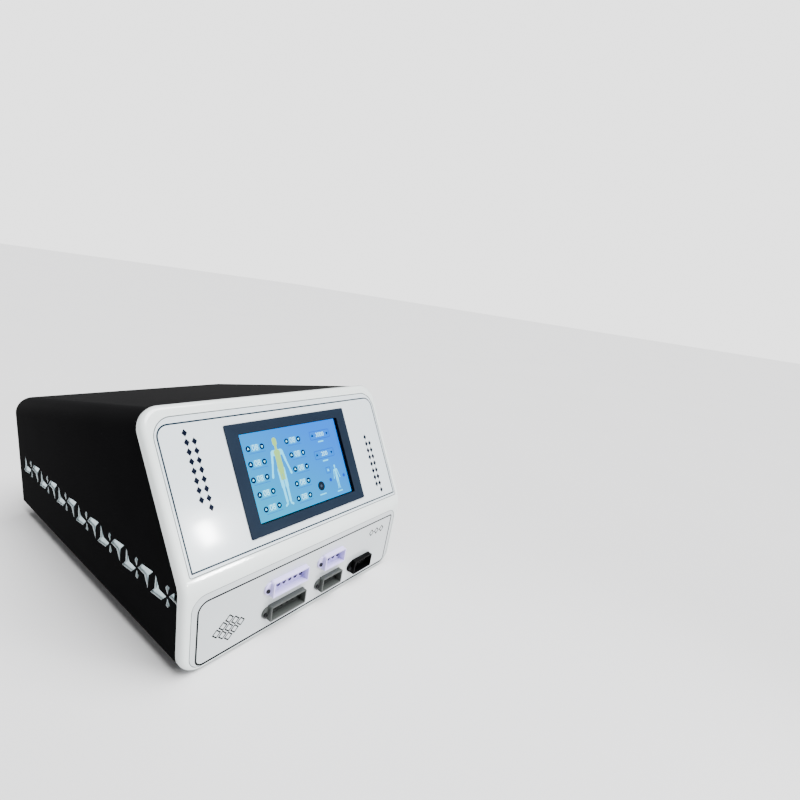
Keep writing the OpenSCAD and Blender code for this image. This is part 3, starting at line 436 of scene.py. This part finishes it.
# Finishes that only a part of a node has, or one node of a slot, and the painted shade on the bezel's window
# walls.
CUT_EDGE = bare_metal("punched_bare_steel", "#CDD5D8", "#E3E8EA", (0.35, 0.45), EVEN, 2, 0.3)
DARK_SCREWS = bare_metal("blackened_steel", "#1E1F21", "#2A2B2E", (0.35, 0.45), EVEN, 1.5)
# Painted shade: the walls round the screen's window are drawn near black for the shade that lies on them.
PAINTED_SHADE_WALL = moulded("window_wall_painted_shade", "#030304", "#050506", (0.5, 0.6), gloss=0.03)
INKS = {
    "line_blue": ink("slate_blue_ink", "#16242F"),
    "line_black": ink("black_ink", "#08080A"),
    "navy": ink("navy_ink", "#060C1C"),
    # Painted shade, not print: the grey hairline round each film's edge stands for the shadow of its recess.
    "painted_edge_shade": ink("painted_film_edge_shade", "#3C4549"),
}


def dress_nodes():
    """Gives every carried-over node the finish of its slot, and returns each node's slot."""
    slots = {part["node"]: part["material_slot"] for part in frame["record"]["subparts"]}
    for name, obj in frame["nodes"].items():
        obj.data.materials.clear()
        obj.data.materials.append(FINISHES[slots[name]])
    frame["nodes"]["socket_screws"].data.materials[0] = DARK_SCREWS
    return slots


SLOTS = dress_nodes()

# ---------------------------------------------------------------- solids with softened edges

# Corners within the first distance are one point, and faces within the first angle are one face. An edge
# sharper than the second angle is rounded.
SAME_POINT = 0.002 * MM
SAME_FACE = math.radians(0.3)
SHARP_EDGE = math.radians(35)


def merged_copy(node):
    """The node's mesh as one closed piece, without the inner edges of its flat faces."""
    source = frame["nodes"][node]
    piece = bpy.data.objects.new(node + "_skin", source.data.copy())
    bpy.context.scene.collection.objects.link(piece)
    edit(piece)
    bpy.ops.mesh.select_all(action="SELECT")
    bpy.ops.mesh.remove_doubles(threshold=SAME_POINT)
    bpy.ops.mesh.customdata_custom_splitnormals_clear()
    bpy.ops.mesh.dissolve_limited(angle_limit=SAME_FACE)
    done()
    return piece


def softened(node, width_mm, body="housing", segments=2):
    """Stands for a node with its sharp edges rounded, as a mould or a tumbling drum leaves them."""
    piece = merged_copy(node)
    take(piece)
    bevel = piece.modifiers.new("edges", "BEVEL")
    bevel.width = width_mm * MM
    bevel.segments = segments
    bevel.limit_method = "ANGLE"
    bevel.angle_limit = SHARP_EDGE
    bevel.miter_outer = "MITER_ARC"
    bpy.ops.object.modifier_apply(modifier=bevel.name)
    smooth(piece, degrees=32)
    finished(piece, body, FINISHES[SLOTS[node]])
    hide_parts(node)
    return piece


def make_fascia():
    """The moulding's sweeps shaded as the smooth surfaces that they are."""
    piece = merged_copy("front_fascia")
    smooth(piece, degrees=28)
    finished(piece, "housing", FINISHES["fascia_white"])
    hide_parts("front_fascia")


def make_cover():
    """The cover, with bare metal where the vents are punched through its paint."""
    piece = merged_copy("case_cover")
    smooth(piece, degrees=28)
    finished(piece, "housing", FINISHES["cover_paint"])
    piece.data.materials.append(CUT_EDGE)
    low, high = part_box("vent_screens")
    # The cut edges lie at the vents' height and are neither the sheet's two sides nor its ends.
    for face in piece.data.polygons:
        in_vents = low.z < face.center.z < high.z
        on_a_side = abs(face.normal.x) >= 0.3
        at_an_end = abs(face.normal.y) >= 0.999
        if in_vents and not on_a_side and not at_an_end:
            face.material_index = 1
    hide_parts("case_cover")


def make_bezel():
    """The screen's surround, with painted shade on the steep walls round its window: they are drawn near
    black so that they stay dark beside the screen's light.
    """
    piece = softened("screen_bezel", width_mm=0.4)
    piece.data.materials.append(PAINTED_SHADE_WALL)
    to_face = UPPER_FACE.inverted()
    # The walls lie this many millimetres or less outside the window.
    reach = 2
    for face in piece.data.polygons:
        spot = (to_face @ face.center) / MM
        steep = abs((to_face.to_3x3() @ face.normal).z) < 0.7
        across = WINDOW_LOW[0] - reach < spot.x < WINDOW_HIGH[0] + reach
        along = WINDOW_LOW[1] - reach < spot.y < WINDOW_HIGH[1] + reach
        if steep and across and along:
            face.material_index = 1


SOCKETS = ("long_socket_top", "long_socket_low", "short_socket_top", "short_socket_low", "last_socket")
INSERTS = ("long_insert_top", "long_insert_low", "short_insert_top", "short_insert_low", "last_insert")

make_fascia()
make_cover()
make_bezel()
for node in SOCKETS:
    softened(node, width_mm=0.35)
for node in INSERTS:
    softened(node, width_mm=0.12, segments=1)
softened("mains_inlet", width_mm=0.3)
softened("switch_body", width_mm=0.3)
softened("switch_rocker", width_mm=0.4, body="rocker")
softened("fuse_drawer", width_mm=0.2, body="fuse_carrier")

# ---------------------------------------------------------------- printing on the films

FILM_UPPER = out(UPPER_FACE, FILM_DEPTH)
FILM_LOWER = out(LOWER_FACE, FILM_DEPTH)

# In millimetres on the upper face: the diamonds' half width and half height, their pitch down a column,
# and each column's place and top.
DIAMOND_HALF = (3.5, 4.4)
DIAMOND_ROWS = 8
DIAMOND_PITCH = 10.6
DIAMOND_COLUMNS = ((-153, 159.8), (-143.5, 149.2), (148.5, 111), (156.5, 100.4))

# In millimetres on the lower face: the patch's middle, the chain's first square, their steps, the squares'
# half diagonals and their line's width.
PATCH_CENTRE = (-137, 42)
PATCH_STEP = (8.6, 6.2)
PATCH_HALF = 6.4
CHAIN_START = (131, 77)
CHAIN_STEP = 13
CHAIN_HALF = 6
LATTICE_LINE = 1.6


def plate(name, low, high):
    """A flat rectangle from its low to its high corner in a face's own frame, without thickness."""
    bpy.ops.mesh.primitive_plane_add(size=1)
    obj = bpy.context.active_object
    obj.name = name
    obj.scale = (high[0] - low[0], high[1] - low[1], 1)
    obj.location = ((low[0] + high[0]) / 2, (low[1] + high[1]) / 2, 0)
    return settle(obj)


def thicken(obj, thick):
    """Gives a flat outline its thickness towards +z."""
    edit(obj)
    bpy.ops.mesh.select_all(action="SELECT")
    bpy.ops.mesh.extrude_region_move(TRANSFORM_OT_translate={"value": (0, 0, thick)})
    bpy.ops.mesh.select_all(action="SELECT")
    bpy.ops.mesh.normals_make_consistent(inside=False)
    done()


def border_line(obj, line, thick):
    """Keeps a line along a flat outline's border, and gives it thickness."""
    edit(obj)
    bpy.ops.mesh.select_all(action="SELECT")
    bpy.ops.mesh.inset(thickness=line)
    bpy.ops.mesh.delete(type="FACE")
    done()
    thicken(obj, thick)


def round_corner(obj, corner, radius):
    """Rounds the outline's vertex nearest to a corner."""
    nearest = min((v.co.xy - corner).length for v in obj.data.vertices)
    edit(obj, "VERT")
    pick(obj, lambda v: (v.co.xy - corner).length < nearest + 1e-6)
    bpy.ops.mesh.bevel(offset=radius, segments=10, affect="VERTICES")
    done()


def printed_frame(name, face, low, high, radii, line, material):
    """A closed printed line just inside a rectangle; sizes in millimetres, radii from the lower left."""
    obj = plate(name, Vector(low) * MM, Vector(high) * MM)
    corners = ((low[0], low[1]), (high[0], low[1]), (high[0], high[1]), (low[0], high[1]))
    for corner, radius in zip(corners, radii):
        round_corner(obj, Vector(corner) * MM, radius * MM)
    border_line(obj, line * MM, INK_THICKNESS)
    settle(obj, face)
    finished(obj, "housing", material)


def print_frames():
    """The blue line round the screen and the black line round the sockets."""
    blue, black = INKS["line_blue"], INKS["line_black"]
    printed_frame("upper_line", FILM_UPPER, (-185.8, 14.4), (185.8, 172.1), (1, 1, 16, 15), 1.9, blue)
    printed_frame("lower_line", FILM_LOWER, (-181.5, 8.8), (181.5, 95.6), (11, 9, 5, 14), 2.3, black)


def paint_film_edge_shade():
    """Painted shade: a grey hairline printed round each film, standing for the shadow where the film drops
    into its recess.
    """
    low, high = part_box("upper_film")
    drop = math.sin(FACE_LEAN)
    foot = (low.z - BEND_HEIGHT + (FILM_DEPTH + FILM_THICKNESS) * drop) / math.cos(FACE_LEAN)
    head = (high.z - BEND_HEIGHT + FILM_DEPTH * drop) / math.cos(FACE_LEAN)
    corners = Vector((low.x, foot)) / MM, Vector((high.x, head)) / MM
    printed_frame("upper_edge_painted_shade", FILM_UPPER, *corners, (3, 3, 24, 24), 0.8, INKS["painted_edge_shade"])
    low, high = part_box("lower_film")
    corners = low.xz / MM, high.xz / MM
    printed_frame("lower_edge_painted_shade", FILM_LOWER, *corners, (18, 18, 18, 18), 0.7, INKS["painted_edge_shade"])


def print_diamonds():
    """Two staggered columns of diamonds on each side of the screen."""
    bpy.ops.mesh.primitive_circle_add(vertices=4, radius=MM, fill_type="NGON")
    seed = settle(bpy.context.active_object, Matrix.Diagonal((*DIAMOND_HALF, 1, 1)))
    thicken(seed, INK_THICKNESS)
    copies = []
    for x, top in DIAMOND_COLUMNS:
        for row in range(DIAMOND_ROWS):
            spot = (x * MM, (top - DIAMOND_PITCH * row) * MM, 0)
            copies.append(copied(seed, Matrix.Translation(spot)))
    bpy.data.objects.remove(seed)
    diamonds = join(copies, "diamond_rows")
    settle(diamonds, FILM_UPPER)
    finished(diamonds, "housing", INKS["navy"])


def lattice_square(x, y, half):
    """An outlined square standing on its corner, in millimetres in a face's own frame."""
    bpy.ops.mesh.primitive_circle_add(vertices=4, radius=half * MM, fill_type="NGON")
    obj = settle(bpy.context.active_object, Matrix.Translation((x * MM, y * MM, 0)))
    border_line(obj, LATTICE_LINE * MM, INK_THICKNESS)
    return obj


def print_ornaments():
    """Plain diamond lattices: a 3-3-3 patch at the lower left and a row of three at the upper right."""
    squares = []
    for row in range(3):
        for column in range(3):
            x = PATCH_CENTRE[0] + (column - row) * PATCH_STEP[0]
            y = PATCH_CENTRE[1] + (column + row - 2) * PATCH_STEP[1]
            squares.append(lattice_square(x, y, PATCH_HALF))
    for link in range(3):
        squares.append(lattice_square(CHAIN_START[0] + link * CHAIN_STEP, CHAIN_START[1], CHAIN_HALF))
    ornaments = join(squares, "lattice_print")
    settle(ornaments, FILM_LOWER)
    finished(ornaments, "housing", INKS["line_black"])


print_frames()
paint_film_edge_shade()
print_diamonds()
print_ornaments()

# ---------------------------------------------------------------- image on the screen

IMAGE_FACE = out(UPPER_FACE, GLASS_DEPTH)

# In millimetres on the upper face: the readouts' two columns from the top row down, and how far their
# buttons lie to each side.
READOUT_COLUMNS = ((-61.2, -63.2, -65, -61.3, -57.3), (2.7, 5.3, 5.7, 2.1, -1.3))
ROW_TOP = 129.3
ROW_PITCH = 19
BUTTON_REACH = 10.9

# The two larger readouts: their column, and each one's height and digits.
BOX_COLUMN = 56
BOXES = ((129.3, "3000"), (101.7, "200"))

# The figure's strips in heads of its height: start, end and width. The paired ones are its right side's.
SHOULDERS = ((-0.52, 5.72), (0.52, 5.72), 0.64)
PAIRED_LIMBS = (
    ((0.7, 5.78), (0.93, 4.7), 0.29),
    ((0.93, 4.7), (1.22, 3.7), 0.23),
    ((1.25, 3.56), (1.32, 3.3), 0.28),
    ((0.3, 3.9), (0.27, 2.1), 0.45),
    ((0.27, 2.0), (0.24, 0.5), 0.3),
    ((0.26, 0.25), (0.5, 0.1), 0.22),
)
TRUNK = (
    ((0, 7.02), (0, 6.72), 0.62),
    ((0, 6.5), (0, 6.1), 0.32),
    ((-0.12, 5.7), (0.12, 5.7), 0.66),
    ((0, 5.6), (0, 4.6), 0.76),
    ((0, 4.5), (0, 3.8), 0.82),
    ((-0.2, 3.8), (-0.17, 2.9), 0.3),
    ((0.2, 3.8), (0.17, 2.9), 0.3),
)
FIGURE_HEADS = 7.5

# The image's tones, brightest for the lettering, and one without light for the painted shade along the
# window's bottom and right.
LIT = {
    "white": lit_ink("lit_white", "#8CE4FF", 3.3),
    "navy": lit_ink("lit_navy", "#2F6CFF", 0.1),
    "dark": lit_ink("lit_charcoal", "#6E8FC0", 0.1),
    "cream": lit_ink("lit_cream", "#B4F08C", 1.5),
    "pale": lit_ink("lit_pale_blue", "#4CD2FF", 2.8),
    "blue": lit_ink("lit_deep_blue", "#0060FF", 1.1),
    "slate": lit_ink("lit_slate", "#8C9CC0", 0.4),
    # Painted shade, not part of the image: the dark of the bars along the window's bottom and right.
    "black": lit_ink("painted_shade_border", "#020408", 0.0),
}


def at(x, up):
    """A place on the upper face in millimetres: right of its middle and up from the bend."""
    return Vector((x * MM, up * MM, 0))


def on_screen(objs, name, tone, lift=0):
    """Joins pieces of the image and lays them on the glass, lifted by a number of their thicknesses."""
    piece = join(objs, name)
    settle(piece, IMAGE_FACE @ Matrix.Translation((0, 0, lift * IMAGE_THICKNESS)))
    finished(piece, "housing", LIT[tone])


def disc(centre, radius):
    """A round spot."""
    bpy.ops.mesh.primitive_circle_add(vertices=28, radius=radius, fill_type="NGON", location=centre)
    obj = settle(bpy.context.active_object)
    thicken(obj, IMAGE_THICKNESS)
    return obj


def triangle(centre, radius, up=True):
    """An arrowhead that points up or down."""
    bpy.ops.mesh.primitive_circle_add(vertices=3, radius=radius, fill_type="NGON")
    obj = bpy.context.active_object
    obj.rotation_euler.z = 0 if up else math.pi
    obj.location = centre
    settle(obj)
    thicken(obj, IMAGE_THICKNESS)
    return obj


def strip(name, centre, width, height, radius):
    """A flat strip with rounded corners, without thickness."""
    low = (centre[0] - width / 2, centre[1] - height / 2)
    high = (centre[0] + width / 2, centre[1] + height / 2)
    obj = plate(name, low, high)
    if radius:
        edit(obj, "VERT")
        bpy.ops.mesh.select_all(action="SELECT")
        bpy.ops.mesh.bevel(offset=radius, segments=6, affect="VERTICES")
        done()
    return obj


def bar(centre, width, height, radius=0.0):
    """A filled strip."""
    obj = strip("bar", centre, width, height, radius)
    thicken(obj, IMAGE_THICKNESS)
    return obj


def box_line(centre, width, height, radius, line):
    """An outlined strip."""
    obj = strip("box_line", centre, width, height, radius)
    border_line(obj, line, IMAGE_THICKNESS)
    return obj


def figures(text, centre, height):
    """Digits as a thin mesh, centred on a place; the font's digits are 0.7 of its size high."""
    bpy.ops.object.text_add()
    obj = bpy.context.active_object
    obj.data.body = text
    obj.data.size = height / 0.7
    obj.data.align_x = "CENTER"
    obj.data.align_y = "CENTER"
    obj.data.extrude = IMAGE_THICKNESS / 2
    obj.location = (centre[0], centre[1], IMAGE_THICKNESS / 2)
    take(obj)
    bpy.ops.object.convert(target="MESH")
    return settle(bpy.context.active_object)


def limb(start, end, width):
    """A limb of the pictogram: a strip with round ends, whose radius stays just under half its width."""
    start, end = Vector(start), Vector(end)
    run = end - start
    obj = bar((0, 0), run.length + width, width, width * 0.49)
    turn = Matrix.Rotation(math.atan2(run.y, run.x), 4, "Z")
    return settle(obj, Matrix.Translation((start + end) / 2) @ turn)


def pictogram(foot, height, tone_body, tone_limbs, name):
    """A plain standing figure, built from round-ended strips in heads of its height."""
    head = height / FIGURE_HEADS

    def strip_of_figure(start, end, width, side=1):
        """One strip, given in heads from the foot, and mirrored where side is -1."""
        ends = [(foot.x + side * across * head, foot.y + up * head, 0) for across, up in (start, end)]
        return limb(*ends, width * head)

    limbs = [strip_of_figure(*SHOULDERS)]
    for side in (-1, 1):
        limbs += [strip_of_figure(*part, side) for part in PAIRED_LIMBS]
    trunk = [strip_of_figure(*part) for part in TRUNK]
    on_screen(limbs, name + "_limbs", tone_limbs)
    on_screen(trunk, name + "_trunk", tone_body, lift=1)


def rise_and_fall_buttons():
    """Ten readouts, each between a round up and a round down button, and a rule that leads to the figure."""
    discs, rings, arrows, digits, leads = [], [], [], [], []
    for column in READOUT_COLUMNS:
        for row, x in enumerate(column):
            centre = at(x, ROW_TOP - ROW_PITCH * row)
            for side, up in ((-1, True), (1, False)):
                spot = centre + at(side * BUTTON_REACH, 0)
                discs.append(disc(spot, radius=3.7 * MM))
                arrows.append(triangle(spot, 1.9 * MM, up))
            rings.append(box_line(centre, width=13 * MM, height=8 * MM, radius=1.6 * MM, line=0.4 * MM))
            digits.append(figures("08", centre, height=7 * MM))
            leads.append(bar(centre + at(2, -6.4), width=26 * MM, height=0.4 * MM))
    on_screen(discs, "button_discs", "navy")
    on_screen(rings, "readout_frames", "pale")
    on_screen(arrows, "button_arrows", "white", lift=1)
    on_screen(digits, "readout_digits", "white")
    on_screen(leads, "readout_rules", "blue")


def number_boxes():
    """The two larger readouts at the upper right, with a caption strip under each."""
    frames, digits, arrows, strips = [], [], [], []
    for up, text in BOXES:
        centre = at(BOX_COLUMN, up)
        frames.append(box_line(centre, width=40 * MM, height=12 * MM, radius=2 * MM, line=0.7 * MM))
        digits.append(figures(text, centre, height=6 * MM))
        arrows.append(triangle(centre + at(-15, 0), 2.6 * MM, up=True))
        arrows.append(triangle(centre + at(15, 0), 2.6 * MM, up=False))
        strips.append(bar(centre + at(-1, -9.6), width=11 * MM, height=1.8 * MM, radius=0.6 * MM))
    on_screen(frames, "number_boxes", "blue")
    on_screen(arrows, "box_arrows", "navy")
    on_screen(digits, "box_digits", "white")
    on_screen(strips, "box_strips", "pale")


def mode_button():
    """The round button between the two figures, with a caption strip under it."""
    centre = at(34.3, 59.8)
    on_screen([disc(centre, radius=6.4 * MM)], "mode_disc", "dark")
    on_screen([disc(centre, radius=2 * MM)], "mode_spot", "slate", lift=1)
    caption = bar(centre + at(0, -11.4), width=13 * MM, height=1.6 * MM, radius=0.6 * MM)
    on_screen([caption], "mode_strip", "pale")


def painted_window_shade():
    """Painted shade: dark bars on the glass along the bottom and the right of the window, standing for the
    shade on the bezel's walls there.
    """
    foot_width = 1.2 * MM
    side_width = 0.8 * MM
    low = at(*WINDOW_LOW)
    high = at(*WINDOW_HIGH)
    foot = bar(((low.x + high.x) / 2, low.y + foot_width / 2), high.x - low.x, foot_width)
    side = bar((high.x - side_width / 2, (low.y + high.y) / 2), side_width, high.y - low.y)
    on_screen([foot, side], "painted_window_shade", "black")


def small_figure_keys():
    """A framed key to the left of the small figure, a round key on each side below it, and its caption."""
    key = at(55.2, 78)
    frame_line = box_line(key, width=9 * MM, height=8.6 * MM, radius=1.2 * MM, line=0.7 * MM)
    on_screen([frame_line], "figure_key", "blue")
    on_screen([triangle(key, 2.4 * MM)], "figure_key_arrow", "pale")
    side_keys = [disc(centre, radius=2.6 * MM) for centre in (at(55.4, 64.1), at(84.4, 65))]
    on_screen(side_keys, "figure_side_keys", "blue")
    caption = bar(at(69, 45.3), width=11 * MM, height=1.6 * MM, radius=0.6 * MM)
    on_screen([caption], "figure_strip", "pale")


rise_and_fall_buttons()
number_boxes()
mode_button()
small_figure_keys()
painted_window_shade()
pictogram(at(-29, 48.5), 91 * MM, "cream", "pale", name="large_figure")
pictogram(at(69.5, 49), 35 * MM, "pale", "pale", name="small_figure")

# ---------------------------------------------------------------- studio

# The room is seen as bright as the floor, but fills the shadows only a little.
ROOM_FILL = 0.3
ROOM_SEEN = 2.6
FLOOR_SIZE = 60


def make_floor():
    """Pale matt floor under the console."""
    bpy.ops.mesh.primitive_plane_add(size=FLOOR_SIZE)
    floor = bpy.context.active_object
    floor.name = "floor"
    settings = {"IOR": 1.45, "Specular IOR Level": 0.1}
    material, tree, shader, place = new_material("pale_floor_paint", settings)
    mottled(tree, shader, place, "#D4D4D5", "#D8D8D9", size_mm=400, rough=(0.7, 0.8))
    floor.data.materials.append(material)


def soft_window(name, place, target, size, watts):
    """A rectangular soft box that faces a target, narrowed by a honeycomb."""
    lamp = bpy.data.objects.new(name, bpy.data.lights.new(name, "AREA"))
    bpy.context.scene.collection.objects.link(lamp)
    lamp.data.shape = "RECTANGLE"
    lamp.data.size, lamp.data.size_y = size
    lamp.data.energy = watts
    lamp.data.spread = math.radians(60)
    aim = Vector(target) - Vector(place)
    lamp.matrix_world = Matrix.Translation(place) @ aim.to_track_quat("-Z", "Y").to_matrix().to_4x4()


def make_studio():
    """A white room, a wide soft sun high on the right, and two lamps that the films and the bend mirror."""
    world = bpy.data.worlds.new("studio")
    world.use_nodes = True
    tree = world.node_tree
    tree.nodes["Background"].inputs["Color"].default_value = linear("#FFFFFF")
    ray = add(tree, "ShaderNodeLightPath")
    strength = add(
        tree,
        "ShaderNodeMapRange",
        {"To Min": ROOM_FILL, "To Max": ROOM_SEEN},
        {"Value": (ray, "Is Camera Ray")},
    )
    tree.links.new(strength.outputs["Result"], tree.nodes["Background"].inputs["Strength"])
    bpy.context.scene.world = world
    sun = bpy.data.objects.new("soft_sun", bpy.data.lights.new("soft_sun", "SUN"))
    bpy.context.scene.collection.objects.link(sun)
    sun.data.energy = 9.5
    sun.data.angle = math.radians(50)
    sun.rotation_euler = (math.radians(20), 0, math.radians(28))
    soft_window(
        "window",
        place=(0.613, -1.383, 0.678),
        target=(-0.157, -0.204, 0.161),
        size=(0.06, 0.09),
        watts=0.45,
    )
    soft_window(
        "low_window",
        place=(0.5, -1.42, 0.34),
        target=(-0.13, -0.21, 0.11),
        size=(0.24, 0.1),
        watts=1.4,
    )


make_floor()
make_studio()
